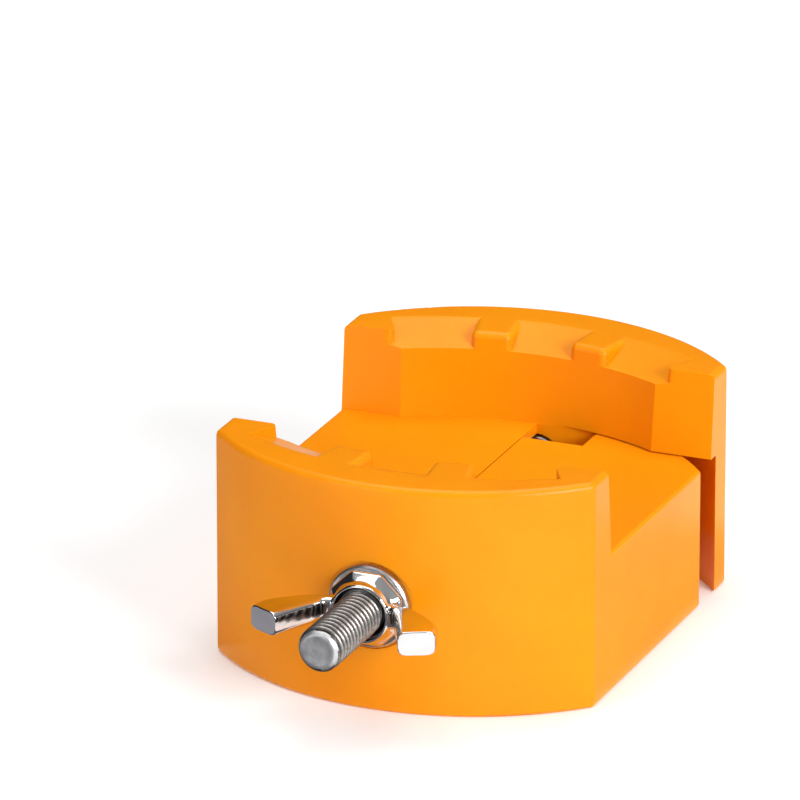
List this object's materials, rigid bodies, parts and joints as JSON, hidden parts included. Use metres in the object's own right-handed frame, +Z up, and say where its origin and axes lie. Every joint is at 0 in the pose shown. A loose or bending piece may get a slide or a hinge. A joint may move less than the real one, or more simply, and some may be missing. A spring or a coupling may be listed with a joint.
{
  "type": "watch movement holder",
  "caption": "Adjustable two-jaw bench clamp that grips a watch case between notched, hollowed jaws, closed by a bolt and a wing nut.",
  "frame": {"origin": "under the middle of the whole holder, from the bolt's tip to the rear jaw, on the bench", "axes": "+Y from the wing nut to the rear jaw, along the bolt; +X to the right, seen from the wing nut; +Z up"},
  "size_m": [0.052, 0.087, 0.0305],
  "materials": {
    "jaw_plastic": "satin-glossy moulded orange plastic",
    "bolt_steel": "plain rolled-thread steel",
    "washer_steel": "zinc-plated steel",
    "nut_chrome": "bright nickel-plated"
  },
  "bodies": {
    "front": {"front_jaw": "jaw_plastic", "washer": "washer_steel"},
    "rear": {"rear_jaw": "jaw_plastic", "clamp_bolt": "bolt_steel"},
    "nut": {"wing_nut": "nut_chrome"}
  },
  "joints": [
    {"name": "jaw_slide", "type": "slide", "parent": "front", "child": "rear", "axis": [0, 1, 0], "range_m": [-0.0054, 0.009]},
    {"name": "wing_nut_turn", "type": "hinge", "parent": "front", "child": "nut", "pos_m": [0, -0.0325, 0.0143], "axis": [0, -1, 0], "range_deg": [-1945, 3241]}
  ],
  "couplings": [
    {"joint": "wing_nut_turn", "follows": "jaw_slide", "rad_per_m": 6283.2}
  ]
}
